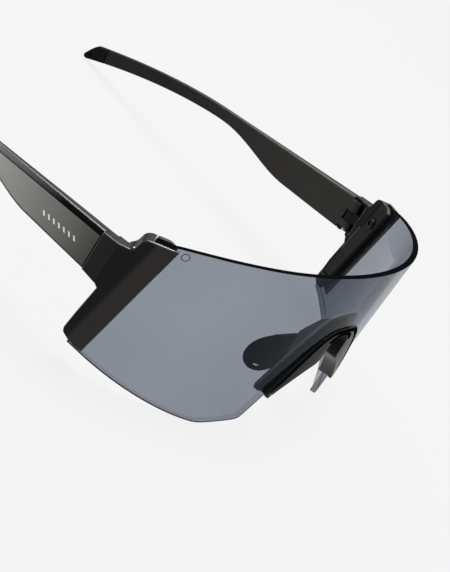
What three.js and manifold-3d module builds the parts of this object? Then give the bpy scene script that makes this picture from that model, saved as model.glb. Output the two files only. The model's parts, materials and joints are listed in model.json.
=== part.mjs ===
// Rimless shield sunglasses for hiking and mountaineering, as an assembly of separate pieces.
// Every piece is drawn in the worn frame, in millimetres: +X to the wearer's left, +Y backwards,
// +Z up, with the origin on the mid-plane where the temples meet the front. The left side is
// drawn and the right side is its mirror image. At the end the whole pair is laid down as it
// rests on a table, on the lens's lower edge and the two temple tips.
import * as THREE from 'three';
import { mergeVertices } from 'three/addons/utils/BufferGeometryUtils.js';
import Module from 'manifold-3d';

const wasm = await Module();
wasm.setup();

// ---- Driving dimensions: millimetres, and degrees where the name ends in Angle ----

const GAP = 0.3; // clearance between neighbouring pieces
const FAR = 90; // reach of a cutting prism, past everything it cuts

// The lens is part of an upright cylinder whose axis leans back by tiltAngle.
const LENS = {
  radius: 72.8,
  thickness: 2,
  front: -47.2, // y of the outer face on the mid-plane, at z = 0
  tiltAngle: 8.9,
  facetAngle: 1.5,
};

const FRAME = {
  outerX: 67, // outer face of the hinge lug
  innerX: 62.9,
  proud: 1.2, // how far the wing stands out from the lens's outer face
  wall: 3.6, // depth of the wing's inner face behind the lens's outer face
  wingAngle: 57, // where the wing is centred round the lens's cylinder
  split: -0.4, // rear face of the front, at z = 0
  topFall: 0.12, // fall of the wing's top face, per millimetre outwards
};

const HINGE = {
  x: 64.2,
  y: -1,
  knuckleRadius: 2,
  webHalf: 1.6, // half width of the web that carries a knuckle
  upper: [-5.4, -1.5],
  middle: [-8.9, -5.7],
  lower: [-11.6, -9.2],
  pocketFront: -4.6,
  screwRadius: 0.5,
  headRadius: 1.1,
  head: [-13, -12],
  screwTop: -2,
  insertRadius: 1.3,
  insert: [-5.1, -1.8],
};

const PEG = {
  radius: 1.2,
  places: [[0, -3], [4.6, -29.5]], // along the wing and up, from the wing's centre line
  screwRadius: 0.45,
  screwHeadHeight: 0.7,
};

const BRIDGE = {
  lip: 0.4, // front lip at its top, proud of the lens
  lipLean: 0.044, // the lip's face leans less than the lens and stands prouder lower down
  flange: 1.35, // rear flange, behind the lens
};

const PAD = {
  thickness: 2.2,
  rootX: 8.5,
  rootY: -38,
  rootZ: -16,
  flareBack: 0.3, // sideways growth per millimetre backwards
  flareDown: 0.2, // sideways growth per millimetre down
  hingeY: -36.8,
  coreThickness: 0.4,
};

const TEMPLE = {
  frontZ: -0.4,
  frontHeight: 12.9,
  frontTaper: 0.058, // loss of height per millimetre, ahead of the waist
  waist: [27, 58], // where the deep front part runs down into the slim arm
  armHeight: 4.5,
  endHeight: 6.1,
  endY: 111, // where the rubber tip begins
  tipY: 120.6,
  bendY: 60, // where the arm starts to curve down
  bendDrop: 8.1, // fall of the top edge at the tip
  frontThickness: 4.1,
  armThickness: 2.9,
  tipX: 60.5, // outer face at the tip: the arms close in towards the head
  chamfer: 1.2,
  edge: 0.5,
  step: 3, // spacing of the sections
};

const TANG = { length: 4.5, height: 2.2, thickness: 1 };
const TIP_EYE = { radius: 0.5, y: 117.4, z: -11.9 }; // small hole through the tip

// ---- Solids from three.js geometry, and booleans on them ----

const rad = THREE.MathUtils.degToRad;
const AXIS_X = new THREE.Vector3(1, 0, 0);
const AXIS_Y = new THREE.Vector3(0, 1, 0);
const AXIS_Z = new THREE.Vector3(0, 0, 1);

function solidOf(geometry) {
  const bare = geometry.clone();
  bare.deleteAttribute('normal');
  bare.deleteAttribute('uv');
  const merged = mergeVertices(bare, 1e-4);
  return new wasm.Manifold(new wasm.Mesh({
    numProp: 3,
    vertProperties: merged.attributes.position.array,
    triVerts: new Uint32Array(merged.index.array),
  }));
}

function geometryOf(solid) {
  const { vertProperties, triVerts } = solid.getMesh();
  const geometry = new THREE.BufferGeometry();
  geometry.setAttribute('position', new THREE.Float32BufferAttribute(vertProperties, 3));
  geometry.setIndex(new THREE.Uint32BufferAttribute(triVerts, 1));
  return geometry;
}

function moved(solid, matrix) {
  return solidOf(geometryOf(solid).applyMatrix4(matrix));
}

function mirrored(solid) {
  const geometry = geometryOf(solid).scale(-1, 1, 1);
  const corners = geometry.index.array;
  for (let i = 0; i < corners.length; i += 3) {
    corners.subarray(i, i + 3).reverse();
  }
  return solidOf(geometry);
}

function joined(solids) {
  return solids.reduce((whole, solid) => whole.add(solid));
}

function cut(solid, tools) {
  return tools.reduce((left, tool) => left.subtract(tool), solid);
}

function outline(points) {
  return new THREE.Shape(points.map(([a, b]) => new THREE.Vector2(a, b)));
}

function extruded(shape, depth, matrix, curveSegments = 8) {
  const geometry = new THREE.ExtrudeGeometry(shape, { depth, curveSegments, bevelEnabled: false });
  return solidOf(geometry.applyMatrix4(matrix));
}

// (x, z) points of the left half, followed by their mirror images.
function bothSides(half) {
  return [...half, ...[...half].reverse().map(([x, z]) => [-x, z])];
}

// A (y, z) outline carried along X.
function alongX(shape, from, to) {
  const matrix = new THREE.Matrix4().makeBasis(AXIS_Y, AXIS_Z, AXIS_X).setPosition(from, 0, 0);
  return extruded(shape, to - from, matrix);
}

// An (x, z) outline carried along Y.
function alongY(shape, from, to) {
  const back = AXIS_Y.clone().negate();
  const matrix = new THREE.Matrix4().makeBasis(AXIS_X, AXIS_Z, back).setPosition(0, to, 0);
  return extruded(shape, to - from, matrix);
}

function box([x0, x1], [y0, y1], [z0, z1]) {
  const geometry = new THREE.BoxGeometry(x1 - x0, y1 - y0, z1 - z0);
  return solidOf(geometry.translate((x0 + x1) / 2, (y0 + y1) / 2, (z0 + z1) / 2));
}

// A round bar that stands upright.
function upright(radius, [z0, z1], x, y, sides = 24) {
  const geometry = new THREE.CylinderGeometry(radius, radius, z1 - z0, sides);
  return solidOf(geometry.rotateX(Math.PI / 2).translate(x, y, (z0 + z1) / 2));
}

// ---- The lens's cylinder: drawn upright, and leaned back once a piece is complete ----

const CENTRE_Y = LENS.front + LENS.radius;
const LEAN = Math.tan(rad(LENS.tiltAngle));
const TILT = new THREE.Matrix4().set(1, 0, 0, 0, 0, 1, -LEAN, 0, 0, 0, 1, 0, 0, 0, 0, 1);

// A stretch of pipe wall round the lens's axis, between two angles from straight ahead.
function shell(outer, inner, [fromAngle, toAngle], [z0, z1]) {
  const start = rad(fromAngle - 90);
  const end = rad(toAngle - 90);
  const ring = new THREE.Shape();
  ring.absarc(0, CENTRE_Y, outer, start, end, false);
  ring.absarc(0, CENTRE_Y, inner, end, start, true);
  const facets = Math.ceil((toAngle - fromAngle) / LENS.facetAngle / 2);
  return extruded(ring, z1 - z0, new THREE.Matrix4().setPosition(0, 0, z0), facets);
}

// The frame of the wing: u along the lens's surface, z up and depth straight out of it.
function wingMatrix(depth) {
  const angle = rad(FRAME.wingAngle);
  const u = new THREE.Vector3(Math.cos(angle), Math.sin(angle), 0);
  const out = new THREE.Vector3(Math.sin(angle), -Math.cos(angle), 0);
  const place = out.clone().multiplyScalar(depth).add(new THREE.Vector3(0, CENTRE_Y, 0));
  return new THREE.Matrix4().makeBasis(u, AXIS_Z, out).setPosition(place);
}

function throughWing(shape, from, to) {
  return extruded(shape, to - from, wingMatrix(from));
}

function wingBar(radius, from, to, [u, z], sides = 16) {
  const geometry = new THREE.CylinderGeometry(radius, radius, to - from, sides);
  geometry.rotateX(Math.PI / 2).translate(u, z, (to - from) / 2);
  return solidOf(geometry.applyMatrix4(wingMatrix(from)));
}

// The wing's front edge and the lens's end inside it, as slanted lines from one (u, z) to another.
const FRONT_EDGE = { top: [-5.2, 6], bottom: [3.2, -36.3] };
const LENS_END = { top: [1.6, 6], bottom: [7.8, -36.3] };

// Everything on one side of a slanted line, moved along u by shift.
function besideLine({ top, bottom }, shift, reach) {
  const slope = (bottom[0] - top[0]) / (bottom[1] - top[1]);
  const at = (z) => top[0] + slope * (z - top[1]) + shift;
  return outline([[at(-FAR), -FAR], [reach, -FAR], [reach, FAR], [at(FAR), FAR]]);
}

function pastLine(line, shift) {
  return besideLine(line, shift, FAR);
}

function beforeLine(line, shift) {
  return besideLine(line, shift, -FAR);
}

const INNER = LENS.radius - FRAME.wall;
const LENS_BACK = LENS.radius - LENS.thickness;

// ---- Lens ----

// The edge of the nose notch, from a bridge leg up to the mid-plane.
const NOTCH = [[16.9, -34.5], [14.9, -30.5], [12, -25], [9.6, -19.5], [7.4, -15], [5.2, -13.3]];

// The lens's bowed top edge, from its end in the wing towards the mid-plane.
const LENS_TOP = [[70, 1], [60, 4.5], [56, 5.55], [50, 6.45], [40, 7.35], [20, 8.4], [5, 8.72]];

// The lens from the front: its lower edge swells below each eye.
function lensShape() {
  const shape = new THREE.Shape();
  const side = 70;
  const [corner, ...crown] = bothSides(LENS_TOP).reverse().map(([x, z]) => new THREE.Vector2(x, z));
  shape.moveTo(corner.x, corner.y);
  shape.splineThru(crown);
  shape.lineTo(side, -31.3);
  shape.lineTo(62.7, -36.5);
  shape.bezierCurveTo(56, -41.6, 44, -46.2, 34.5, -47.8);
  shape.quadraticCurveTo(33, -48, 31, -47.6);
  shape.lineTo(22.6, -45.9);
  shape.quadraticCurveTo(20.8, -45.5, 20.1, -43.9);
  shape.lineTo(17.5, -36.8);
  const [notchFoot, ...notch] = bothSides(NOTCH).map(([x, z]) => new THREE.Vector2(x, z));
  shape.lineTo(notchFoot.x, notchFoot.y);
  shape.splineThru(notch);
  shape.lineTo(-17.5, -36.8);
  shape.lineTo(-20.1, -43.9);
  shape.quadraticCurveTo(-20.8, -45.5, -22.6, -45.9);
  shape.lineTo(-31, -47.6);
  shape.quadraticCurveTo(-33, -48, -34.5, -47.8);
  shape.bezierCurveTo(-44, -46.2, -56, -41.6, -62.7, -36.5);
  shape.lineTo(-side, -31.3);
  return shape;
}

function lens() {
  const blank = shell(LENS.radius, LENS_BACK, [-70, 70], [-52, 14]);
  const whole = blank.intersect(alongY(lensShape(), -FAR, FAR));
  const end = throughWing(pastLine(LENS_END, 0), LENS.radius / 2, FAR);
  const holes = PEG.places.map((place) => wingBar(PEG.radius + GAP, LENS_BACK - 3, FAR, place));
  const tools = [end, ...holes];
  return moved(cut(whole, [...tools, ...tools.map(mirrored)]), TILT);
}

// ---- Front ends: hinge lug and wing in one moulding, with the lens's seat ----

// The front end from the side, without its top edge.
function endpieceShape() {
  const shape = new THREE.Shape();
  shape.moveTo(FRAME.split, 10);
  shape.lineTo(-30, 10);
  shape.lineTo(-30, -45.2);
  shape.lineTo(-7, -32.7);
  shape.quadraticCurveTo(-5, -31.6, -5.25, -29.8);
  shape.lineTo(-7, -15.2);
  shape.lineTo(-6, -14.2);
  shape.lineTo(FRAME.split, -13.2);
  return shape;
}

// Everything under the lug's flat top and, ahead of it, the wing's taller top that falls outwards.
function underTop() {
  const wingTop = new THREE.Shape();
  wingTop.moveTo(-30, 5);
  wingTop.lineTo(3.2, 4.25);
  wingTop.quadraticCurveTo(5.2, 4, 5.4, 2.2);
  wingTop.lineTo(5.7, 1.1);
  wingTop.quadraticCurveTo(6.1, -0.5, 8.5, -1.2);
  wingTop.lineTo(8.5, -60);
  wingTop.lineTo(-30, -60);
  const from = 30;
  const fall = new THREE.Matrix4().set(
    1, 0, 0, 0,
    0, 1, -FRAME.topFall, FRAME.topFall * (LENS.radius - from),
    0, 0, 1, 0,
    0, 0, 0, 1,
  );
  const taller = extruded(wingTop, FAR, wingMatrix(from).multiply(fall));
  return taller.add(box([0, FAR], [-FAR, FAR], [-60, TEMPLE.frontZ]));
}

function endpieceBody() {
  const side = alongX(endpieceShape(), 40, FRAME.outerX).intersect(underTop());
  const face = LENS.radius + FRAME.proud;
  const wing = cut(shell(face, INNER, [46, 80], [-40, 8]), [
    box([40, FRAME.innerX], [-6, 20], [-45, 8]),
  ]);
  const lug = shell(face, 30, [46, 80], [-16, 3]).intersect(
    box([FRAME.innerX, FRAME.outerX], [-9, 5], [-16, 3]),
  );
  const lugBack = box([FRAME.innerX, FRAME.outerX], [-9, FRAME.split], [-16, 3]);
  const whole = joined([wing, lug, lugBack.intersect(discInside(face))]).intersect(side);
  return whole.intersect(throughWing(pastLine(FRONT_EDGE, 0), 30, FAR));
}

// The full disc inside the wing's outer face.
function discInside(radius) {
  const geometry = new THREE.CylinderGeometry(radius, radius, 60, 144);
  return solidOf(geometry.rotateX(Math.PI / 2).translate(0, CENTRE_Y, -15));
}

function endpiece() {
  const seat = cut(shell(LENS.radius + 0.25, 60, [40, 80], [-50, 20]), [
    throughWing(pastLine(LENS_END, GAP), 30, FAR),
  ]);
  const outer = LENS.radius + 0.6;
  const pegs = PEG.places.map((place) => wingBar(PEG.radius, INNER + 0.1, outer, place));
  const bores = PEG.places.map((place) => (
    wingBar(PEG.screwRadius + GAP, INNER - 1, LENS.radius - 0.2, place, 12)
  ));
  const leaned = moved(cut(joined([cut(endpieceBody(), [seat]), ...pegs]), bores), TILT);
  return cut(joined([cut(leaned, hingeRooms()), middleKnuckle()]), [
    upright(HINGE.screwRadius + GAP, [-16, HINGE.middle[1] + 1], HINGE.x, HINGE.y, 16),
    upright(HINGE.headRadius + 0.25, [-16, HINGE.lower[0]], HINGE.x, HINGE.y),
  ]);
}

// The rooms, open to the inside and the rear, where the temple and its knuckles turn.
function hingeRooms() {
  const knuckleRooms = [HINGE.upper, HINGE.lower].map(([low, high]) => (
    box([50, FRAME.outerX - 0.6], [HINGE.pocketFront, 6], [low - GAP, high + GAP])
  ));
  return [...knuckleRooms, box([50, HINGE.x - 0.6], [-3, 6], [-20, 2])];
}

function knuckle(levels, reach) {
  const { x, y, knuckleRadius, webHalf } = HINGE;
  const web = box([x - webHalf, x + webHalf], [Math.min(y, reach), Math.max(y, reach)], levels);
  return upright(knuckleRadius, levels, x, y).add(web);
}

function middleKnuckle() {
  return knuckle(HINGE.middle, HINGE.pocketFront - 1);
}

// ---- Bars that clamp the lens into the front ends, with their screws ----

// What is rounded off the bar's top front corner, where it runs down to the lens's edge.
function retainerCorner() {
  const shape = new THREE.Shape();
  shape.moveTo(-9, 7);
  shape.lineTo(-0.8, 7);
  shape.lineTo(-0.8, 4.8);
  shape.quadraticCurveTo(-3.4, 4.6, -5.2, 2.4);
  shape.lineTo(-9, 2.4);
  return shape;
}

function retainer() {
  const bar = shell(LENS_BACK - GAP, INNER, [46, 75], [-33, 8]);
  const side = alongX(endpieceShape(), 40, FRAME.outerX).intersect(underTop());
  const strip = cut(bar.intersect(side), [
    throughWing(beforeLine(FRONT_EDGE, 0.4), 30, FAR),
    throughWing(pastLine(LENS_END, 0), 30, FAR),
    throughWing(retainerCorner(), 30, FAR),
    ...PEG.places.map((place) => wingBar(PEG.radius + GAP, 60, FAR, place)),
  ]);
  return moved(strip, TILT);
}

function retainerScrew(place) {
  const radius = PEG.radius + 0.7;
  const under = Math.sqrt(INNER ** 2 - (place[0] + radius) ** 2) - 0.1;
  const head = wingBar(radius, under - PEG.screwHeadHeight, under, place, 20);
  const shaft = wingBar(PEG.screwRadius, under - 0.1, LENS.radius - 0.6, place, 12);
  return moved(head.add(shaft), TILT);
}

// ---- Nose bridge: a front lip and a rear flange that hold the lens's notch between them ----

const OPENING = [
  [17.2, -38], [17, -36], [16, -34.6], [13.3, -31.4], [10, -27.9], [7.1, -25.4],
  [4.9, -23.5], [4.4, -21], [4.3, -17.3], [3.2, -15.2], [1.4, -14.5],
];
const LIP = [
  [18.3, -35.1], [18.2, -34], [16.7, -29.5], [13.5, -21.9], [10.2, -15.8],
  [7.1, -12.6], [3.8, -11.4],
];
const FLANGE = [
  [18.2, -35.6], [18.7, -34.2], [18.4, -32.4], [15.6, -24.5], [12.4, -17.2],
  [8.3, -10.8], [5.2, -8.1],
];
const LEG_END = -35.7;

// A smooth arch through points that start at the left foot, with square feet below it.
function arch(half, foot) {
  const through = bothSides(half).map(([x, z]) => new THREE.Vector2(x, z));
  const curve = new THREE.SplineCurve(through).getPoints(4 * (through.length - 1));
  return outline([foot, ...curve.map(({ x, y }) => [x, y]), [-foot[0], foot[1]]]);
}

const LIP_LEAN = new THREE.Matrix4().set(
  1, 0, 0, 0,
  0, 1, BRIDGE.lipLean, -BRIDGE.lipLean * LIP[LIP.length - 1][1],
  0, 0, 1, 0,
  0, 0, 0, 1,
);

// The lip's or flange's outline, down to the flat ends of the legs.
function saddle(half) {
  const [lowX] = half[0];
  return arch(half, [lowX - 0.9, LEG_END - 0.4]);
}

function bridge() {
  const wide = [-22, 22];
  const tall = [-50, 0];
  const front = LENS.radius + 3;
  const back = LENS_BACK - 0.15 - BRIDGE.flange;
  const face = moved(discInside(LENS.radius + BRIDGE.lip), LIP_LEAN);
  const opening = alongY(arch(OPENING, [17.6, -FAR]), -FAR, FAR);
  const neck = NOTCH.map(([x, z]) => [x - 0.4, z - GAP]);
  const layers = [
    shell(front, LENS.radius + 0.15, wide, tall).intersect(alongY(saddle(LIP), -FAR, FAR)),
    shell(front, back, wide, tall).intersect(alongY(arch(neck, [17, LEG_END]), -FAR, FAR)),
    shell(LENS_BACK - 0.15, back, wide, tall).intersect(alongY(saddle(FLANGE), -FAR, FAR)),
  ];
  const saddleBody = moved(joined(layers).intersect(face), TILT);
  const arm = cut(padPlate(ARM_SHAPE, PAD.thickness), [
    padPlate(coreShape(GAP), PAD.coreThickness + 2 * GAP),
  ]);
  return cut(joined([saddleBody, arm, mirrored(arm)]), [moved(opening, TILT)]);
}

// ---- Nose pads, on metal strips that let them be bent to fit ----

const ARM_SHAPE = outline([
  [-42.6, -8.6], [-40.4, -10.4], [-37, -16.4], [-37, -25.2], [-38.4, -24.4], [-41, -19.5],
]);

const PAD_FLARE = new THREE.Matrix4().set(
  1, PAD.flareBack, -PAD.flareDown,
  PAD.rootX - PAD.flareBack * PAD.rootY + PAD.flareDown * PAD.rootZ,
  0, 1, 0, 0,
  0, 0, 1, 0,
  0, 0, 0, 1,
);

// A plate with a (y, z) outline that leans out backwards and downwards, as the nose does.
function padPlate(shape, thickness) {
  return moved(alongX(shape, -thickness / 2, thickness / 2), PAD_FLARE);
}

function padShape() {
  const shape = new THREE.Shape();
  shape.moveTo(PAD.hingeY + 0.1, -17.6);
  shape.quadraticCurveTo(-32.4, -20.4, -29.3, -23.4);
  shape.bezierCurveTo(-26, -26.7, -25.4, -32, -29.2, -33.2);
  shape.bezierCurveTo(-32.4, -34.2, -35, -31.4, PAD.hingeY + 0.1, -28);
  return shape;
}

// The strip inside: deep in the pad, and a short tail in the bridge's arm.
function coreShape(margin) {
  const tail = PAD.hingeY - 2.2 - margin;
  const nose = -31.5 + margin;
  const low = -24.4 - margin;
  const high = -21 + margin;
  return outline([[tail, low], [nose, low], [nose, high], [tail, high]]);
}

function pad() {
  const hole = outline([[-30, -31.6], [-32.2, -31.2], [-32.4, -31.9], [-30.3, -32.4]]);
  return cut(padPlate(padShape(), PAD.thickness), [
    padPlate(coreShape(GAP), PAD.coreThickness + 2 * GAP),
    padPlate(hole, 4 * PAD.thickness),
  ]);
}

function padCore() {
  return padPlate(coreShape(0), PAD.coreThickness);
}

// ---- Temples ----

function templeTop(y) {
  const past = Math.max(0, (y - TEMPLE.bendY) / (TEMPLE.tipY - TEMPLE.bendY));
  return TEMPLE.frontZ - TEMPLE.bendDrop * past ** 1.7;
}

function templeHeight(y) {
  const [start, end] = TEMPLE.waist;
  const deep = TEMPLE.frontHeight - TEMPLE.frontTaper * y;
  const past = Math.max(0, (y - end) / (TEMPLE.tipY - end));
  const slim = TEMPLE.armHeight + (TEMPLE.endHeight - TEMPLE.armHeight) * past ** 2;
  return THREE.MathUtils.lerp(deep, slim, THREE.MathUtils.smoothstep(y, start, end));
}

function templeOuter(y) {
  return THREE.MathUtils.lerp(FRAME.outerX, TEMPLE.tipX, y / TEMPLE.tipY);
}

function templeThickness(y) {
  const slimming = THREE.MathUtils.smoothstep(y, 0, TEMPLE.waist[1]);
  return THREE.MathUtils.lerp(TEMPLE.frontThickness, TEMPLE.armThickness, slimming);
}

// Eight corners of the arm's section, down the outer side and up the inner side.
function templeSection(y) {
  const top = templeTop(y);
  const bottom = top - templeHeight(y);
  const outer = templeOuter(y);
  const inner = outer - templeThickness(y);
  const { chamfer, edge } = TEMPLE;
  const corners = [
    [outer - chamfer, top], [outer, top - chamfer], [outer, bottom + edge], [outer - edge, bottom],
    [inner + edge, bottom], [inner, bottom + edge], [inner, top - edge], [inner + edge, top],
  ];
  return corners.map(([x, z]) => new THREE.Vector3(x, y, z));
}

// A closed skin over rings of equal size that follow each other along +Y.
function loft(rings) {
  const size = rings[0].length;
  const faces = [];
  for (let r = 0; r < rings.length - 1; r += 1) {
    for (let i = 0; i < size; i += 1) {
      const a = r * size + i;
      const b = r * size + ((i + 1) % size);
      faces.push(a, b, b + size, a, b + size, a + size);
    }
  }
  const last = (rings.length - 1) * size;
  for (let i = 1; i < size - 1; i += 1) {
    faces.push(0, i + 1, i, last, last + i, last + i + 1);
  }
  const geometry = new THREE.BufferGeometry().setFromPoints(rings.flat());
  return solidOf(geometry.setIndex(faces));
}

function stations(from, to) {
  const count = Math.ceil((to - from) / TEMPLE.step);
  return Array.from({ length: count + 1 }, (_, i) => from + ((to - from) * i) / count);
}

// The tongue of the arm that the rubber tip is moulded over.
function tang(margin) {
  const y = TEMPLE.endY;
  const x = templeOuter(y) - TEMPLE.armThickness / 2;
  const z = templeTop(y) - templeHeight(y) / 2 - 0.3;
  const halfX = TANG.thickness / 2 + margin;
  const halfZ = TANG.height / 2 + margin;
  return box([x - halfX, x + halfX], [y - 2, y + TANG.length + margin], [z - halfZ, z + halfZ]);
}

function temple() {
  const arm = loft(stations(-2, TEMPLE.endY - GAP / 2).map(templeSection));
  const splitAt = (z) => FRAME.split + GAP - z * LEAN;
  const ahead = outline([[-FAR, -20], [splitAt(-20), -20], [splitAt(5), 5], [-FAR, 5]]);
  const body = cut(arm, [
    alongX(ahead, 40, FAR),
    upright(HINGE.knuckleRadius + 0.35, [HINGE.lower[1], HINGE.upper[0]], HINGE.x, HINGE.y),
  ]);
  const knuckles = [HINGE.upper, HINGE.lower].map((levels) => knuckle(levels, 4));
  const { x, y } = HINGE;
  return cut(joined([body, ...knuckles, tang(0)]), [
    upright(HINGE.screwRadius + GAP, [HINGE.lower[0] - 1, HINGE.lower[1] + 1], x, y, 16),
    upright(HINGE.insertRadius + 0.25, [HINGE.upper[0] - 1, HINGE.upper[1] + 1], x, y),
  ]);
}

// Everything past the rounded rear end of the tip, from the side.
function pastTipEnd() {
  const low = templeTop(TEMPLE.tipY) - TEMPLE.endHeight;
  const shape = new THREE.Shape();
  shape.moveTo(117, 0);
  shape.lineTo(115.4, templeTop(115.4) + 0.1);
  shape.quadraticCurveTo(117.6, -9, 120.2, -12.6);
  shape.quadraticCurveTo(120.8, -14.4, 117, low);
  shape.lineTo(117, low - 6);
  shape.lineTo(130, low - 6);
  shape.lineTo(130, 0);
  return shape;
}

function templeTip() {
  const blank = loft(stations(TEMPLE.endY + GAP / 2, TEMPLE.tipY).map(templeSection));
  const { radius, y, z } = TIP_EYE;
  const eye = new THREE.CylinderGeometry(radius, radius, FAR, 12).rotateZ(Math.PI / 2);
  return cut(blank, [
    alongX(pastTipEnd(), 40, FAR),
    tang(GAP),
    solidOf(eye.translate(TEMPLE.tipX, y, z)),
  ]);
}

// ---- Hinge screws and the threaded inserts they hold in ----

function hingeScrew() {
  const { x, y, screwRadius, headRadius, head, screwTop } = HINGE;
  return upright(headRadius, head, x, y).add(upright(screwRadius, [head[0], screwTop], x, y, 16));
}

function hingeInsert() {
  const { x, y, insertRadius, insert, screwRadius } = HINGE;
  return upright(insertRadius, insert, x, y).subtract(
    upright(screwRadius + 0.25, [insert[0] - 1, insert[1] + 1], x, y, 16),
  );
}

// ---- Materials ----

const MATERIALS = {
  smokeLens: { color: 0x70757e, roughness: 0.08, metalness: 0.1, transparent: true, opacity: 0.6 },
  glossBlack: { color: 0x1d1a18, roughness: 0.28, metalness: 0 },
  satinBlack: { color: 0x2a2826, roughness: 0.45, metalness: 0 },
  satinGraphite: { color: 0x5b5a55, roughness: 0.38, metalness: 0.35 },
  olivePlastic: { color: 0x34332d, roughness: 0.5, metalness: 0 },
  softRubber: { color: 0x22262a, roughness: 0.7, metalness: 0 },
  steel: { color: 0x8d8f92, roughness: 0.3, metalness: 1 },
  brass: { color: 0xa98b52, roughness: 0.35, metalness: 1 },
};

function mesh(name, solid, material) {
  const made = new THREE.Mesh(
    geometryOf(solid).toNonIndexed(),
    new THREE.MeshStandardMaterial(MATERIALS[material]),
  );
  made.geometry.computeVertexNormals();
  made.name = name;
  return made;
}

// ---- Assembly ----

const SIDE_PIECES = [
  ['endpiece', endpiece(), 'glossBlack'],
  ['lens_retainer', retainer(), 'olivePlastic'],
  ['retainer_screw_upper', retainerScrew(PEG.places[0]), 'steel'],
  ['retainer_screw_lower', retainerScrew(PEG.places[1]), 'steel'],
  ['hinge_screw', hingeScrew(), 'steel'],
  ['hinge_insert', hingeInsert(), 'brass'],
  ['temple', temple(), 'satinGraphite'],
  ['temple_tip', templeTip(), 'softRubber'],
  ['nose_pad', pad(), 'softRubber'],
  ['nose_pad_core', padCore(), 'steel'],
];

const worn = new THREE.Group();
worn.add(mesh('lens', lens(), 'smokeLens'));
worn.add(mesh('nose_bridge', bridge(), 'satinBlack'));
for (const [side, sign] of [['left', 1], ['right', -1]]) {
  const half = new THREE.Group();
  half.scale.x = sign;
  for (const [name, solid, material] of SIDE_PIECES) {
    half.add(mesh(`${name}_${side}`, solid, material));
  }
  worn.add(half);
}

// Laid down: the lens's lowest edge and the tips' lowest edge come to one height.
const LENS_REST = { y: -31.7, z: -47.9 };
const TIP_REST = { y: 119, z: -14.4 };
worn.rotation.x = -Math.atan2(TIP_REST.z - LENS_REST.z, TIP_REST.y - LENS_REST.y);

const group = new THREE.Group();
group.add(worn);
const bounds = new THREE.Box3().setFromObject(group, true);
const centre = bounds.getCenter(new THREE.Vector3());
worn.position.set(-centre.x, -centre.y, -bounds.min.z);

export default group;
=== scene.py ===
"""Looks for a pair of rimless shield sunglasses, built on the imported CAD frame.

Pieces are drawn in the worn frame, in millimetres: +X to the wearer's left, +Y back, +Z up.
"""
import json
import math

import bpy
import bmesh
from mathutils import Matrix, Vector
from mathutils.geometry import interpolate_bezier


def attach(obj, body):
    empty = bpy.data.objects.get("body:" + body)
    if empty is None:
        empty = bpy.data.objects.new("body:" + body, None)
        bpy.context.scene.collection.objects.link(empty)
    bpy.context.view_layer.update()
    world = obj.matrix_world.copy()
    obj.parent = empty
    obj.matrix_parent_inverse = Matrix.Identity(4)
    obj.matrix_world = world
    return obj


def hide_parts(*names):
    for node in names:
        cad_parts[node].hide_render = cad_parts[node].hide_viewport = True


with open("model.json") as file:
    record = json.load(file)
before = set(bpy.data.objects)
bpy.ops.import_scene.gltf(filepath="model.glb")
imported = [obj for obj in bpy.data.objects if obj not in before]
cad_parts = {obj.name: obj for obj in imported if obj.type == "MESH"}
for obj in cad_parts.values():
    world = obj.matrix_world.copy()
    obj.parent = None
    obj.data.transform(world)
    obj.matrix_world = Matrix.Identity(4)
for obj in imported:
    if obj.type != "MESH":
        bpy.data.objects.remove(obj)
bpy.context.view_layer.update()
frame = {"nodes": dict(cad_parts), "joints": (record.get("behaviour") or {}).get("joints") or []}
MM = 0.001
SIDES = {"left": 1, "right": -1}

# ---- From the worn frame to the row ----

HINGE_WORN = Vector((64.2, -1, -6.5))
HINGE_JOINT = next(j for j in frame["joints"] if j["name"] == "left_temple_fold")
TILT_BACK = math.atan2(HINGE_JOINT["axis"][1], HINGE_JOINT["axis"][2])
TURN = Matrix.Rotation(-TILT_BACK, 4, "X")
PLACE = Matrix.Translation(Vector(HINGE_JOINT["pos_m"]) - TURN @ (HINGE_WORN * MM))
WORN = PLACE @ TURN @ Matrix.Scale(MM, 4)

LENS_RADIUS, LENS_THICKNESS, LENS_CENTRE_Y = 72.8, 2.0, 25.6
LENS_LEAN = math.tan(math.radians(8.9))
WING_ANGLE = math.radians(57)
# The wing's front edge runs straight between these, as (u round the wing, z).
WING_EDGE_TOP, WING_EDGE_FOOT = (-5.2, 6), (3.2, -36.3)
WING_EDGE_SLOPE = (WING_EDGE_FOOT[0] - WING_EDGE_TOP[0]) / (WING_EDGE_TOP[1] - WING_EDGE_FOOT[1])

# Distance past the wing's front edge is this direction's component, less the start.
WING_ACROSS = Vector((
    math.cos(WING_ANGLE),
    math.sin(WING_ANGLE),
    math.sin(WING_ANGLE) * LENS_LEAN + WING_EDGE_SLOPE,
))
WING_ACROSS_START = (
    math.sin(WING_ANGLE) * LENS_CENTRE_Y + WING_EDGE_SLOPE * WING_EDGE_TOP[1] + WING_EDGE_TOP[0]
)
# The lighter band beside the front edge, a painted reflection: its width, how far it fades, and
# its colour.
WING_BAND, WING_BAND_FADE, WING_REFLECTION_COLOR = 5.3, 1.2, (46, 44, 42)

# ---- Camera, at the photograph's viewing angle ----

AIM = Vector((-0.0066, -0.0449, 0.0213))
AZIMUTH, ELEVATION, ROLL = math.radians(-67.61), math.radians(28.89), math.radians(38.11)
DISTANCE = 0.4525


def add_camera():
    data = bpy.data.cameras.new("camera")
    data.sensor_width = 36
    data.lens = 96.43
    camera = bpy.data.objects.new("camera", data)
    back = Vector((
        math.sin(AZIMUTH) * math.cos(ELEVATION),
        -math.cos(AZIMUTH) * math.cos(ELEVATION),
        math.sin(ELEVATION),
    ))
    level = (-back).to_track_quat("-Z", "Y").to_matrix().to_4x4()
    camera.matrix_world = (
        Matrix.Translation(AIM + back * DISTANCE) @ level @ Matrix.Rotation(ROLL, 4, "Z")
    )
    bpy.context.scene.collection.objects.link(camera)
    bpy.context.scene.camera = camera


# ---- Materials ----


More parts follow.
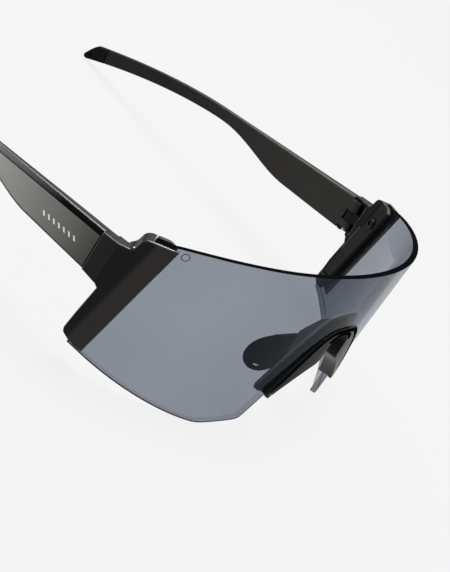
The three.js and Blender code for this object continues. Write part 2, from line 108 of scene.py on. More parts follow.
def shade(value):
    """An sRGB level from 0 to 255 as a linear colour component."""
    level = value / 255
    return level / 12.92 if level <= 0.04045 else ((level + 0.055) / 1.055) ** 2.4


class Finish:
    """A material with noise-driven colour, roughness and relief, and a few fine scratches."""

    def __init__(self, name, color, roughness, **more):
        self.material = bpy.data.materials.new(name)
        self.material.use_nodes = True
        self.nodes = self.material.node_tree.nodes
        self.links = self.material.node_tree.links
        self.surface = self.nodes["Principled BSDF"]
        self.coordinates = self.nodes.new("ShaderNodeTexCoord").outputs["Object"]
        self.color = [shade(c) for c in color]
        self.set("Roughness", roughness)
        for socket, value in more.items():
            self.set(socket.replace("_", " "), value)

    def set(self, socket, value):
        self.surface.inputs[socket].default_value = value

    def noise(self, size_mm, detail=3, stretch=(1, 1, 1)):
        mapping = self.nodes.new("ShaderNodeMapping")
        mapping.inputs["Scale"].default_value = [s / (size_mm * MM) for s in stretch]
        self.links.new(self.coordinates, mapping.inputs["Vector"])
        texture = self.nodes.new("ShaderNodeTexNoise")
        texture.inputs["Scale"].default_value = 1
        texture.inputs["Detail"].default_value = detail
        self.links.new(mapping.outputs["Vector"], texture.inputs["Vector"])
        return texture.outputs["Fac"]

    def ramp(self, source, stops):
        ramp = self.nodes.new("ShaderNodeValToRGB")
        elements = ramp.color_ramp.elements
        for element, (place, color) in zip(elements, stops):
            element.position = place
            element.color = (*color, 1)
        self.links.new(source, ramp.inputs["Fac"])
        return ramp.outputs["Color"]

    def spread(self, source, low, high, start=0.3, end=0.7):
        remap = self.nodes.new("ShaderNodeMapRange")
        remap.inputs["From Min"].default_value = start
        remap.inputs["From Max"].default_value = end
        remap.inputs["To Min"].default_value = low
        remap.inputs["To Max"].default_value = high
        self.links.new(source, remap.inputs["Value"])
        return remap.outputs["Result"]

    def math(self, operation, source, *values):
        step = self.nodes.new("ShaderNodeMath")
        step.operation = operation
        self.links.new(source, step.inputs[0])
        for socket, value in zip(step.inputs[1:], values):
            socket.default_value = value
        return step.outputs["Value"]

    def mix(self, factor, first, second):
        mix = self.nodes.new("ShaderNodeMix")
        mix.data_type = "RGBA"
        self.links.new(factor, mix.inputs["Factor"])
        self.links.new(first, mix.inputs[6])
        mix.inputs[7].default_value = (*second, 1)
        return mix.outputs[2]

    def mottled(self, amount, size_mm, painted_fade=None):
        """Slow colour variation, scratches a little lighter than the rest, and an optional
        painted fade of light and shade along the glasses.
        """
        dark = [c * (1 - amount) for c in self.color]
        light = [c * (1 + amount) for c in self.color]
        base = self.ramp(self.noise(size_mm), [(0.3, dark), (0.7, light)])
        if painted_fade:
            base = self.add_painted_fade(base, *painted_fade)
        scratches = self.noise(0.25, 2, (1, 0.02, 1))
        marked = self.spread(scratches, 0, 0.35, 0.68, 0.74)
        color = self.mix(marked, base, [c * 1.5 + 0.01 for c in self.color])
        self.links.new(color, self.surface.inputs["Base Color"])
        return self

    def add_painted_fade(self, base, start, end, color):
        """Painted light and shade: runs to another colour between two places along the glasses,
        front to back.
        """
        split = self.nodes.new("ShaderNodeSeparateXYZ")
        self.links.new(self.coordinates, split.inputs["Vector"])
        share = self.spread(split.outputs["Y"], 0, 1, start, end)
        return self.mix(share, base, [shade(c) for c in color])

    def smudged(self, amount, size_mm=6):
        """Handling marks: roughness that wanders over a few millimetres."""
        level = self.surface.inputs["Roughness"].default_value
        rough = self.spread(self.noise(size_mm, 4), level - amount, level + amount)
        self.links.new(rough, self.surface.inputs["Roughness"])
        return self

    def grained(self, strength, size_mm, stretch=(1, 1, 1)):
        """Fine relief, as a mould or a brush leaves it."""
        bump = self.nodes.new("ShaderNodeBump")
        bump.inputs["Strength"].default_value = strength
        bump.inputs["Distance"].default_value = 0.05 * MM
        self.links.new(self.noise(size_mm, 2, stretch), bump.inputs["Height"])
        self.links.new(bump.outputs["Normal"], self.surface.inputs["Normal"])
        return self

    def past_wing_edge(self):
        """Distance in millimetres from the wing's front edge, alike on both sides."""
        split = self.nodes.new("ShaderNodeSeparateXYZ")
        joined = self.nodes.new("ShaderNodeCombineXYZ")
        self.links.new(self.coordinates, split.inputs["Vector"])
        self.links.new(self.math("ABSOLUTE", split.outputs["X"]), joined.inputs["X"])
        for axis in "YZ":
            self.links.new(split.outputs[axis], joined.inputs[axis])
        dot = self.nodes.new("ShaderNodeVectorMath")
        dot.operation = "DOT_PRODUCT"
        self.links.new(joined.outputs["Vector"], dot.inputs[0])
        dot.inputs[1].default_value = WORN.to_3x3().inverted().transposed() @ WING_ACROSS
        start = WING_ACROSS.dot(WORN.inverted().translation) - WING_ACROSS_START
        return self.math("ADD", dot.outputs["Value"], start)

    def grazing(self, base, rise):
        """A share of gloss that rises from base towards grazing angles."""
        facing = self.nodes.new("ShaderNodeLayerWeight")
        facing.inputs["Blend"].default_value = 0.5
        steep = self.math("POWER", facing.outputs["Facing"], 5)
        return self.math("MULTIPLY_ADD", steep, rise, base)

    def polished(self, share, rise):
        """A low gloss over a dark plastic, rise times stronger at grazing angles."""
        gloss = self.nodes.new("ShaderNodeBsdfGlossy")
        for socket in ("Roughness", "Normal"):
            source = self.surface.inputs[socket].links[0].from_socket
            self.links.new(source, gloss.inputs[socket])
        both = self.nodes.new("ShaderNodeMixShader")
        self.links.new(self.grazing(share, rise * share), both.inputs["Fac"])
        self.links.new(self.surface.outputs["BSDF"], both.inputs[1])
        self.links.new(gloss.outputs["BSDF"], both.inputs[2])
        self.links.new(both.outputs["Shader"], self.nodes["Material Output"].inputs["Surface"])
        return self


# A fade, when given, is painted light and shade along the glasses, front to back.
def plastic(name, color, roughness, grain, grain_mm=0.12, gloss=0.012, rise=28, painted_fade=None):
    finish = Finish(name, color, roughness, Specular_IOR_Level=0.0)
    finish.mottled(0.12, 9, painted_fade).smudged(0.05).grained(grain, grain_mm)
    return finish.polished(gloss, rise).material


def wing_material():
    """Gloss black, with a soft lighter band beside the wing's front edge that is a painted
    reflection.
    """
    finish = Finish("gloss_black", (17, 13, 11), 0.26, Specular_IOR_Level=0.0)
    finish.mottled(0.12, 9).smudged(0.05).grained(0.04, 0.12)
    color = finish.surface.inputs["Base Color"]
    past = finish.past_wing_edge()
    band = finish.spread(past, 1, 0, WING_BAND, WING_BAND + WING_BAND_FADE)
    # The lighter colour near the front edge is a painted reflection.
    lighter = [shade(c) for c in WING_REFLECTION_COLOR]
    finish.links.new(finish.mix(band, color.links[0].from_socket, lighter), color)
    return finish.polished(0.012, 28).material


def metal(name, color, roughness):
    finish = Finish(name, color, roughness, Metallic=1.0)
    return finish.mottled(0.1, 2).smudged(0.08, 2).grained(0.3, 0.08, (1, 1, 6)).material


def see_through_smoke(finish):
    clear = finish.nodes.new("ShaderNodeBsdfTransparent")
    tint = finish.ramp(finish.noise(40), [(0.3, (0.51, 0.533, 0.57)), (0.7, (0.54, 0.563, 0.60))])
    finish.links.new(tint, clear.inputs["Color"])
    return clear.outputs["BSDF"]


def smoke_edge_material(name, color, share):
    """The lens's sawn edge: tinted, with a share of matt colour and no gloss."""
    finish = Finish(name, color, 0.4, Specular_IOR_Level=0.0)
    finish.mottled(0.1, 9)
    both = finish.nodes.new("ShaderNodeMixShader")
    both.inputs["Fac"].default_value = share
    finish.links.new(see_through_smoke(finish), both.inputs[1])
    finish.links.new(finish.surface.outputs["BSDF"], both.inputs[2])
    finish.links.new(both.outputs["Shader"], finish.nodes["Material Output"].inputs["Surface"])
    return finish.material


def smoke_material():
    """Smoke-grey lens: tinted see-through, with a gloss that grows towards grazing angles."""
    finish = Finish("smoke_lens", (0, 0, 0), 0.05)
    nodes, links = finish.nodes, finish.links
    haze = nodes.new("ShaderNodeBsdfDiffuse")
    haze.inputs["Color"].default_value = (0.22, 0.31, 0.38, 1)
    gloss = nodes.new("ShaderNodeBsdfGlossy")
    links.new(finish.spread(finish.noise(12, 4), 0.03, 0.09), gloss.inputs["Roughness"])
    body, skin = nodes.new("ShaderNodeMixShader"), nodes.new("ShaderNodeMixShader")
    body.inputs["Fac"].default_value = 0.03
    links.new(see_through_smoke(finish), body.inputs[1])
    links.new(haze.outputs["BSDF"], body.inputs[2])
    links.new(finish.grazing(0.006, 0.6), skin.inputs["Fac"])
    links.new(body.outputs["Shader"], skin.inputs[1])
    links.new(gloss.outputs["BSDF"], skin.inputs[2])
    links.new(skin.outputs["Shader"], nodes["Material Output"].inputs["Surface"])
    return finish.material


SMOKE = smoke_material()
SMOKE_RIM = smoke_edge_material("smoke_rim", (44, 45, 47), 0.2)
LENS_EDGE = plastic("lens_edge", (1, 1, 2), 0.5, 0.02, gloss=0.0005)
LENS_LINE = smoke_edge_material("lens_edge_line", (12, 13, 15), 0.88)
# A deep black for the bridge's band and the walls beside the lens, painted shade.
SHADE_BLACK = plastic("painted_shade_black", (2, 2, 2), 0.35, 0.04, gloss=0.0005)
GLOSS = wing_material()
EDGE = plastic("edge_black", (8, 7, 6), 0.34, 0.01, gloss=0.08)
SATIN = plastic("satin_black", (22, 19, 18), 0.4, 0.12, gloss=0.011, rise=60)
TEXTURED = plastic("textured_black", (26, 26, 26), 0.5, 0.2, 0.2, gloss=0.005)
LUG = plastic("lug_graphite", (30, 30, 28), 0.4, 0.1, gloss=0.012)
INNER = plastic("inner_black", (22, 21, 20), 0.42, 0.12, gloss=0.012)
# A paler colour for the bridge plate's outer walls, a painted reflection.
PLATE_REFLECTION = plastic("bridge_plate_reflection", (84, 92, 95), 0.42, 0.12, gloss=0.012)
# The chamfer's fade to grey towards the rear is a painted reflection.
CHAMFER = plastic(
    "arm_chamfer", (5, 5, 5), 0.35, 0.04, gloss=0.004, painted_fade=(-0.018, 0.012, (74, 75, 78))
)
OLIVE = plastic("olive_plastic", (32, 31, 27), 0.42, 0.15, gloss=0.012)
RUBBER = plastic("soft_rubber", (12, 13, 14), 0.6, 0.12, 0.2, gloss=0.008)
STEEL = metal("steel", (150, 152, 156), 0.3)
BLACK_STEEL = metal("black_steel", (34, 34, 36), 0.42)
BRASS = metal("brass", (176, 146, 92), 0.32)
INK = plastic("printed_white", (254, 254, 252), 0.5, 0.1)
ETCH = plastic("etched_grey", (58, 62, 68), 0.5, 0.1)
# The inside's fade to darker towards the rear is painted shade.
INSIDE = plastic(
    "arm_inside", (46, 44, 40), 0.4, 0.12, gloss=0.02, painted_fade=(-0.02, 0.05, (22, 18, 16))
)


def panel_material():
    finish = Finish("satin_graphite", (54, 54, 51), 0.42, Metallic=0.5)
    # The fade to light grey towards the rear is a painted reflection.
    finish.mottled(0.06, 14, painted_fade=(-0.035, 0.02, (184, 182, 175)))
    return finish.smudged(0.04, 9).grained(0.03, 0.1).material


PANEL = panel_material()

# ---- Turning CAD nodes into softened pieces ----

SHARP = math.radians(28)
FLAT = math.radians(0.4)
SAME_PLACE, SLIVER = 0.003, 0.12


def opened(node):
    """A CAD node's mesh in worn millimetres, with its flat faces made whole."""
    bm = bmesh.new()
    bm.from_mesh(frame["nodes"][node].data)
    bm.transform(WORN.inverted())
    bmesh.ops.remove_doubles(bm, verts=bm.verts, dist=SAME_PLACE)
    bmesh.ops.dissolve_limit(bm, angle_limit=FLAT, verts=bm.verts[:], edges=bm.edges[:])
    bmesh.ops.dissolve_degenerate(bm, dist=SLIVER, edges=bm.edges[:])
    return bm


def rounded(bm, width, segments, where=None):
    """Rounds the outward edges; where(middle) picks the ones to round."""
    edges = []
    for edge in bm.edges:
        if len(edge.link_faces) != 2 or edge.calc_face_angle_signed(0) < SHARP:
            continue
        middle = (edge.verts[0].co + edge.verts[1].co) / 2
        if where is None or where(middle):
            edges.append(edge)
    made = bmesh.ops.bevel(
        bm, geom=edges, offset=width, offset_type="OFFSET", segments=segments,
        profile=0.5, affect="EDGES", clamp_overlap=False,
    )
    for face in made["faces"]:
        face.tag = True
    bm.normal_update()
    return bm


def softened(node, width, segments=3, where=None):
    return rounded(opened(node), width, segments, where)


def blend_normals(mesh, angle):
    """Flats keep their own direction; only the rounded edges between them blend."""
    around = [[] for _ in mesh.vertices]
    for face in mesh.polygons:
        for vertex in face.vertices:
            around[vertex].append((face.normal.copy(), face.area))
    normals = []
    for face in mesh.polygons:
        for vertex in face.vertices:
            blend = Vector()
            for normal, area in around[vertex]:
                if normal.dot(face.normal) > math.cos(angle):
                    blend += normal * area
            normals.append(blend.normalized())
    mesh.normals_split_custom_set(normals)


def finished(name, bm, body, materials, stands_for=(), pick=None, smooth=35):
    """Makes the piece: pick(centre, normal, rounded) gives a face its material."""
    if pick is not None:
        for face in bm.faces:
            material = pick(face.calc_center_median(), face.normal, face.tag)
            face.material_index = materials.index(material)
    bm.transform(WORN)
    mesh = bpy.data.meshes.new(name)
    bm.to_mesh(mesh)
    bm.free()
    for material in materials:
        mesh.materials.append(material)
    mesh.shade_smooth()
    blend_normals(mesh, math.radians(smooth))
    piece = bpy.data.objects.new(name, mesh)
    bpy.context.scene.collection.objects.link(piece)
    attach(piece, body)
    if stands_for:
        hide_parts(*stands_for)
    return piece


# ---- Lens: a grid of columns on each face, with a rounded rim between them ----

LENS_TOP = [
    (0, 8.75), (5, 8.72), (20, 8.4), (40, 7.35), (50, 6.45), (56, 5.55), (60, 4.5), (70, 1),
]
NOTCH = [
    (0, -12.7), (5.2, -13.3), (7.4, -15), (9.6, -19.5), (12, -25), (14.9, -30.5), (16.9, -34.5),
]
LENS_END_X = {"top": 61.9, "bottom": 64.95}
LENS_ROWS = 26
RIM = 0.6
# The rounding's steps down from each face, as shares of RIM: (in from the outline, deep).
RIM_STEPS = [(0.25, 0.08), (0, 0.5)]
# Keeps the lens's faces clear of the clamp bars, which lie almost on the CAD lens.
LENS_PLAY = 0.04
# Rim faces above this height take the top edge's finishes.
LENS_TOP_EDGE_Z = -1


def spline(points, steps):
    """A smooth curve through points, by Catmull-Rom."""
    ends = [points[0]] + list(points) + [points[-1]]
    curve = []
    for a, b, c, d in zip(ends, ends[1:], ends[2:], ends[3:]):
        for i in range(steps):
            t = i / steps
            curve.append(tuple(
                0.5 * (2 * q + (r - p) * t + (2 * p - 5 * q + 4 * r - s) * t * t
                       + (3 * q - p - 3 * r + s) * t ** 3)
                for p, q, r, s in zip(a, b, c, d)
            ))
    return curve + [tuple(points[-1])]


def bezier(points, steps):
    corners = [Vector((x, z, 0)) for x, z in points]
    return [(v.x, v.y) for v in interpolate_bezier(*corners, steps)]


def height_on(curve, x):
    for (x0, z0), (x1, z1) in zip(curve, curve[1:]):
        if x0 <= x <= x1:
            return z0 + (z1 - z0) * (x - x0) / (x1 - x0)
    return curve[-1][1]


def lens_bottom():
    """The lower edge from the mid-plane outwards, as (x, z)."""
    eye = bezier([(34.5, -47.8), (44, -46.2), (56, -41.6), (62.7, -36.5)], 28)
    return spline(NOTCH, 6) + [
        (17.15, -35.6), (17.5, -36.8), (18.4, -39.2), (19.3, -41.6), (20.1, -43.9),
        (20.4, -44.6), (20.9, -45.2), (21.6, -45.6), (22.6, -45.9), (25, -46.4), (28, -47.0),
        (31, -47.6), (32.2, -47.8), (33.3, -47.85),
    ] + eye + [(63.9, -35.6), (LENS_END_X["bottom"], -34.8)]


def arc(x):
    return LENS_RADIUS * math.asin(x / LENS_RADIUS)


def on_lens(radius, along, z):
    turn = along / LENS_RADIUS
    return Vector((
        radius * math.sin(turn),
        LENS_CENTRE_Y - radius * math.cos(turn) - z * LENS_LEAN,
        z,
    ))


def inset(loop, distance):
    """A closed outline moved inwards; it runs anticlockwise."""
    moved = []
    for i, here in enumerate(loop):
        before, after = Vector(loop[i - 1]), Vector(loop[(i + 1) % len(loop)])
        first = (Vector(here) - before).normalized()
        second = (after - Vector(here)).normalized()
        inward = Vector((-(first.y + second.y), first.x + second.x)).normalized()
        reach = distance / max(0.5, inward.dot(Vector((-first.y, first.x))))
        moved.append(tuple(Vector(here) + inward * reach))
    return moved


def lens_outline():
    """Matched points of the lower and upper edges, as (arc length, z)."""
    half = [(arc(x), z) for x, z in lens_bottom()]
    bottom = [(-a, z) for a, z in reversed(half[1:])] + half
    crown = [(arc(x), z) for x, z in spline(LENS_TOP, 8)]
    narrowing = arc(LENS_END_X["top"]) / arc(LENS_END_X["bottom"])
    top = [(a * narrowing, height_on(crown, abs(a * narrowing))) for a, _ in bottom]
    return bottom, top


def lens_face(bm, radius, bottom, top):
    rows = []
    for r in range(LENS_ROWS + 1):
        t = r / LENS_ROWS
        rows.append([
            bm.verts.new(on_lens(radius, a0 + (a1 - a0) * t, z0 + (z1 - z0) * t))
            for (a0, z0), (a1, z1) in zip(bottom, top)
        ])
    for low, high in zip(rows, rows[1:]):
        for i in range(len(low) - 1):
            bm.faces.new((low[i], low[i + 1], high[i + 1], high[i]))
    return rows


def border(rows):
    right_side = [row[-1] for row in rows[1:-1]]
    left_side = [row[0] for row in rows[-2:0:-1]]
    return rows[0] + right_side + rows[-1][::-1] + left_side


def flat_border(bottom, top):
    """The same ring of points as border(), as (arc length, z)."""
    def between(start, end):
        return [
            tuple(Vector(start).lerp(Vector(end), r / LENS_ROWS)) for r in range(1, LENS_ROWS)
        ]
    return bottom + between(bottom[-1], top[-1]) + top[::-1] + between(top[0], bottom[0])


def build_lens():
    bottom, top = lens_outline()
    ring = flat_border(bottom, top)
    inner = inset(ring, RIM)
    columns = len(bottom)
    low = inner[:columns]
    high = inner[columns + LENS_ROWS - 1:2 * columns + LENS_ROWS - 1][::-1]
    bm = bmesh.new()
    front, back = LENS_RADIUS - LENS_PLAY, LENS_RADIUS - LENS_THICKNESS + LENS_PLAY
    outer_edge = border(lens_face(bm, front, low, high))
    inner_edge = border(lens_face(bm, back, low, high))
    faces = len(bm.faces)
    rings = [outer_edge]
    steps = [(inset(ring, RIM * inwards), RIM * deep) for inwards, deep in RIM_STEPS]
    for outline, depth in steps:
        rings.append([bm.verts.new(on_lens(front - depth, a, z)) for a, z in outline])
    for outline, depth in steps[::-1]:
        rings.append([bm.verts.new(on_lens(back + depth, a, z)) for a, z in outline])
    rings.append(inner_edge)
    for first, second in zip(rings, rings[1:]):
        for i in range(len(first)):
            j = (i + 1) % len(first)
            bm.faces.new((first[i], second[i], second[j], first[j]))
    bmesh.ops.recalc_face_normals(bm, faces=bm.faces[:])
    bm.faces.ensure_lookup_table()
    materials = [SMOKE, LENS_EDGE, LENS_LINE, SMOKE_RIM]
    last_strip = len(rings) - 2
    for i, face in enumerate(bm.faces[faces:]):
        strip = i // len(ring)
        if face.calc_center_median().z > LENS_TOP_EDGE_Z:
            material = LENS_EDGE if 0 < strip < last_strip else SMOKE
        else:
            material = LENS_LINE if strip == 0 else SMOKE_RIM
        face.material_index = materials.index(material)
    finished("shield_lens", bm, "front", materials, ["lens"])


# ---- Screws with a six-lobed recess ----


def screw(name, body, foot, direction, head, shaft, stands_for, material):
    """Stands at foot and points along direction; head and shaft are (radius, height)."""
    sides = 36
    head_radius, head_height = head
    shaft_radius, length = shaft
    recess = head_radius * 0.5

    def ring(radius, height, lobes=0.0):
        turns = [2 * math.pi * i / sides for i in range(sides)]
        return [
            bm.verts.new((
                radius * (1 + lobes * math.cos(6 * t)) * math.cos(t),
                radius * (1 + lobes * math.cos(6 * t)) * math.sin(t),
                height,
            ))
            for t in turns
        ]

    bm = bmesh.new()
    rings = [
        ring(recess * 0.9, head_height * 0.6, 0.14), ring(recess, 0.02, 0.14),
        ring(recess * 1.1, 0, 0.12), ring(head_radius * 0.86, 0.03),
        ring(head_radius * 0.97, 0.12), ring(head_radius, 0.25),
        ring(head_radius, head_height - 0.06), ring(head_radius - 0.06, head_height),
        ring(shaft_radius, head_height), ring(shaft_radius, length - 0.15),
        ring(shaft_radius - 0.12, length),
    ]
    for first, second in zip(rings, rings[1:]):
        for i in range(sides):
            j = (i + 1) % sides
            bm.faces.new((first[i], first[j], second[j], second[i]))
    bm.faces.new(rings[0])
    bm.faces.new(rings[-1])
    bmesh.ops.recalc_face_normals(bm, faces=bm.faces[:])
    up = Vector(direction).to_track_quat("Z", "Y").to_matrix().to_4x4()
    bm.transform(Matrix.Translation(Vector(foot)) @ up)
    finished(name, bm, body, [material], [stands_for])


def leaned(point):
    return Vector((point.x, point.y - point.z * LENS_LEAN, point.z))


def on_wing(sign, u, z, depth):
    """A place in the wing: u round it, z up, depth out from the lens's axis."""
    along = Vector((math.cos(WING_ANGLE), math.sin(WING_ANGLE), 0))
    out = Vector((math.sin(WING_ANGLE), -math.cos(WING_ANGLE), 0))
    place = leaned(along * u + out * depth + Vector((0, LENS_CENTRE_Y, z)))
    return Vector((place.x * sign, place.y, place.z))


RETAINER_BACK = LENS_RADIUS - 3.6
RETAINER_SCREWS = {"upper": (0, -3), "lower": (4.6, -29.5)}
RETAINER_HEAD, RETAINER_SHAFT_RADIUS = (1.9, 0.7), 0.45
HINGE_SCREW_FOOT_Z, HINGE_HEAD, HINGE_SHAFT = -13, (1.1, 1), (0.5, 11)


def build_retainer_screws(side, sign):
    head_radius, head_height = RETAINER_HEAD
    for level, (u, z) in RETAINER_SCREWS.items():
        node = f"retainer_screw_{level}_{side}"
        under = math.sqrt(RETAINER_BACK ** 2 - (u + head_radius) ** 2) - 0.1
        foot = on_wing(sign, u, z, under - head_height)
        tip = on_wing(sign, u, z, LENS_RADIUS - 0.6)
        shaft = (RETAINER_SHAFT_RADIUS, (tip - foot).length)
        screw(
            f"torx_{node}", "front", foot, tip - foot, RETAINER_HEAD, shaft, node, BLACK_STEEL
        )


def build_hinge_screw(side, sign):
    node = f"hinge_screw_{side}"
    foot = Vector((HINGE_WORN.x * sign, HINGE_WORN.y, HINGE_SCREW_FOOT_Z))
    screw(
        f"torx_{node}", NODE_BODY[node], foot, (0, 0, 1), HINGE_HEAD, HINGE_SHAFT, node, STEEL
    )


# ---- Front ends, retainers, temples and tips ----


# Distances out from the middle, where a finish begins: rounded outer edges, inner walls, lug.
WING_OUTER_X, WING_INNER_X, LUG_FACE_X = 60.5, 62.6, 66.5
# The round knuckles keep their own edges, out to these radii from the hinge.
LUG_KNUCKLE, TEMPLE_KNUCKLE = 4.2, 4.5


def from_hinge(point, sign):
    return math.hypot(point.x * sign - HINGE_WORN.x, point.y - HINGE_WORN.y)


def build_endpiece(side, sign):
    node = f"endpiece_{side}"

    def pick(centre, normal, is_rounded):
        outward = centre.x * sign
        if is_rounded:
            return EDGE if outward > WING_OUTER_X else GLOSS
        if normal.x * sign > 0.995 and outward > LUG_FACE_X:
            return LUG
        if normal.z > 0.8:
            return TEXTURED
        if outward < WING_INNER_X and normal.x * sign < 0.2:
            return INNER
        return GLOSS

    def where(middle):
        return from_hinge(middle, sign) >= LUG_KNUCKLE or middle.x * sign > LUG_FACE_X

    finished(
        f"front_end_{side}", softened(node, 0.35, where=where), "front",
        [GLOSS, LUG, TEXTURED, INNER, EDGE], [node], pick,
    )


def build_retainer(side):
    node = f"lens_retainer_{side}"
    finished(
        f"clamp_bar_{side}", softened(node, 0.15, 2), "front", [OLIVE], [node]
    )


def temple_pick(sign):
    def pick(centre, normal, is_rounded):
        out = normal.x * sign
        if is_rounded and out > 0.1 and normal.z > 0.7:
            return EDGE
        if is_rounded:
            return CHAMFER if out > 0.1 and normal.z > 0 else INSIDE
        if out > 0.97:
            return PANEL
        if abs(out) < 0.15 and normal.z > 0.8:
            return TEXTURED
        return CHAMFER if out > 0.3 and normal.z > 0.3 else INSIDE
    return pick


def build_temple(side, sign):
    def where(middle):
        return from_hinge(middle, sign) > TEMPLE_KNUCKLE

    node = f"temple_{side}"
    finished(
        f"arm_{side}", softened(node, 0.35, 2, where), NODE_BODY[node],
        [PANEL, TEXTURED, INSIDE, CHAMFER, EDGE], [node], temple_pick(sign),
    )
    tip = f"temple_tip_{side}"
    finished(
        f"tip_{side}", softened(tip, 0.25, 3), NODE_BODY[tip], [RUBBER], [tip]
    )


# ---- Bridge and nose pads ----


BRIDGE_BAND, LIP_FRONT_Y = 1.8, -40


def from_lens_axis(point):
    """Distance from the axis of the lens's cylinder."""
    return math.hypot(point.x, point.y + point.z * LENS_LEAN - LENS_CENTRE_Y)


def opening_half_width(z):
    """Half the width of the gap between the bridge's legs; below zero where they have joined."""
    heights = [(-38, 17.2), (-34.6, 16), (-27.9, 10), (-23.5, 4.9), (-17.3, 4.3), (-14.5, 0)]
    for (z0, x0), (z1, x1) in zip(heights, heights[1:]):
        if z < z1:
            return x0 + (x1 - x0) * (z - z0) / (z1 - z0)
    return -9


def is_lip_front(face):
    return face.normal.y < -0.8 and face.calc_center_median().y < LIP_FRONT_Y


def build_bridge():
    """A deep black band of painted shade runs down the lip's outer sides and the walls beside the
    lens; the plate's outer walls are paler, a painted reflection.
    """
    bm = opened("nose_bridge")
    bm.normal_update()
    lip = [face for face in bm.faces if is_lip_front(face)]
    band = bmesh.ops.inset_region(
        bm, faces=lip, thickness=BRIDGE_BAND, use_boundary=True, use_even_offset=True
    )["faces"]
    bm.normal_update()
    materials = [SATIN, SHADE_BLACK, PLATE_REFLECTION]
    for face in bm.faces:
        centre = face.calc_center_median()
        reach = from_lens_axis(centre)
        beside_opening = abs(centre.x) - opening_half_width(centre.z)
        if reach > LENS_RADIUS + 0.2 and face not in band:
            material = SATIN
        # Deep black here is painted shade.
        elif reach > LENS_RADIUS - LENS_THICKNESS + 0.1:
            material = SHADE_BLACK if beside_opening > BRIDGE_BAND else SATIN
        # The paler plate colour is a painted reflection.
        elif beside_opening > 0.6 and face.normal.y < 0.45:
            material = PLATE_REFLECTION
        else:
            material = SATIN
        face.material_index = materials.index(material)
    rounded(bm, 0.2, 2)
    finished("bridge", bm, "front", materials, ["nose_bridge"])


# The hole's place, as (y, z), and its reach. Edges in front of PAD_FRONT_Y stay sharp.
PAD_HOLE, PAD_HOLE_REACH, PAD_FRONT_Y = Vector((-31.2, -31.8)), 1.5, -36.3


def build_pad(side):
    node = f"nose_pad_{side}"

    def at_hole(middle):
        return (Vector((middle.y, middle.z)) - PAD_HOLE).length < PAD_HOLE_REACH

    def rim(middle):
        return middle.y > PAD_FRONT_Y and not at_hole(middle)

    bm = softened(node, 0.75, 4, rim)
    rounded(bm, 0.7, 3, at_hole)
    pad = finished(
        f"cushion_{side}", bm, NODE_BODY[node], [RUBBER], [node], smooth=50
    )


# ---- Generic printed marks: slanted bars on each arm, a small ring on the lens ----


ARM_FRONT_X, ARM_REAR_X, ARM_LENGTH = 67, 60.5, 120.6
PRINT_LIFT, ETCH_LIFT = 0.02, 0.015


def arm_outer(y):
    """How far out the arm's outer face is, at a distance back."""
    return ARM_FRONT_X + (ARM_REAR_X - ARM_FRONT_X) * y / ARM_LENGTH


def build_arm_mark(side, sign):
    bm = bmesh.new()
    bars, first, pitch = 7, 7, 2.1
    low, high, width, lean = -8.2, -6.9, 0.7, 0.7
    for i in range(bars):
        start = first + pitch * i
        corners = [
            (start, low), (start + width, low), (start + width + lean, high),
            (start + lean, high),
        ]
        bm.faces.new([
            bm.verts.new(((arm_outer(y) + PRINT_LIFT) * sign, y, z)) for y, z in corners
        ])
    bmesh.ops.recalc_face_normals(bm, faces=bm.faces[:])
    finished(f"arm_mark_{side}", bm, NODE_BODY[f"temple_{side}"], [INK])


def build_lens_mark():
    bm = bmesh.new()
    middle, height, sides = arc(57.0), 3.2, 28
    inner_radius, outer_radius = 0.95, 1.2
    rings = []
    for radius in (inner_radius, outer_radius):
        rings.append([
            bm.verts.new(on_lens(
                LENS_RADIUS + ETCH_LIFT,
                -middle + radius * math.cos(2 * math.pi * i / sides),
                height + radius * math.sin(2 * math.pi * i / sides),
            ))
            for i in range(sides)
        ])
    for i in range(sides):
        j = (i + 1) % sides
        bm.faces.new((rings[0][i], rings[1][i], rings[1][j], rings[0][j]))
    finished("lens_mark", bm, "front", [ETCH])


# ---- Assembly ----

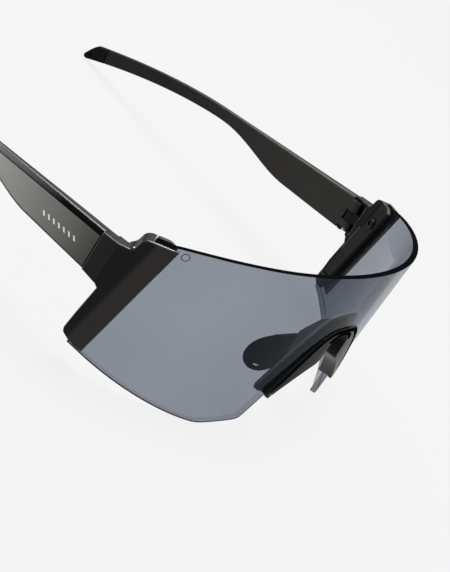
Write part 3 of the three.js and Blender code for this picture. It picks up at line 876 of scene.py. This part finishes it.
NODE_BODY = {
    **{f"{piece}_{side}": f"{side}_temple" for side in SIDES
       for piece in ("temple", "temple_tip", "hinge_insert", "hinge_screw")},
    **{f"nose_pad_{side}": f"{side}_nose_pad" for side in SIDES},
}
CAD_FINISHES = {"hinge_insert": BRASS, "nose_pad_core": STEEL}

add_camera()
build_lens()
build_bridge()
build_lens_mark()
for side_name, side_sign in SIDES.items():
    build_endpiece(side_name, side_sign)
    build_retainer(side_name)
    build_retainer_screws(side_name, side_sign)
    build_hinge_screw(side_name, side_sign)
    build_temple(side_name, side_sign)
    build_pad(side_name)
    build_arm_mark(side_name, side_sign)
    for piece_name, cad_finish in CAD_FINISHES.items():
        cad_mesh = frame["nodes"][f"{piece_name}_{side_name}"].data
        cad_mesh.materials.clear()
        cad_mesh.materials.append(cad_finish)

# ---- Studio ----


def area_light(name, place, aim, size, power):
    data = bpy.data.lights.new(name, "AREA")
    data.shape = "RECTANGLE"
    data.size, data.size_y = size
    data.energy = power
    light = bpy.data.objects.new(name, data)
    light.location = place
    light.rotation_euler = (Vector(aim) - Vector(place)).to_track_quat("-Z", "Y").to_euler()
    bpy.context.scene.collection.objects.link(light)


def add_studio():
    world = bpy.data.worlds.new("studio")
    world.use_nodes = True
    world.node_tree.nodes["Background"].inputs["Color"].default_value = (0.95, 0.97, 1, 1)
    world.node_tree.nodes["Background"].inputs["Strength"].default_value = 0.35
    bpy.context.scene.world = world
    bpy.context.scene.view_settings.view_transform = "Standard"
    area_light("overhead", (0.12, 0.03, 0.9), (0, 0, 0), (0.4, 0.4), 30)
    area_light("rear_strip", (0.2, 0.55, 0.68), (0, 0, 0), (0.5, 0.14), 4)


def add_floor():
    mesh = bpy.data.meshes.new("floor")
    mesh.from_pydata([(-3, -3, 0), (3, -3, 0), (3, 3, 0), (-3, 3, 0)], [], [(0, 1, 2, 3)])
    finish = Finish(
        "floor_paper", (36, 36, 36), 0.9, Emission_Strength=0.845, Specular_IOR_Level=0.0
    )
    finish.set("Emission Color", (1, 1, 1, 1))
    finish.mottled(0.01, 60)
    mesh.materials.append(finish.material)
    floor = bpy.data.objects.new("floor", mesh)
    bpy.context.scene.collection.objects.link(floor)


add_studio()
add_floor()
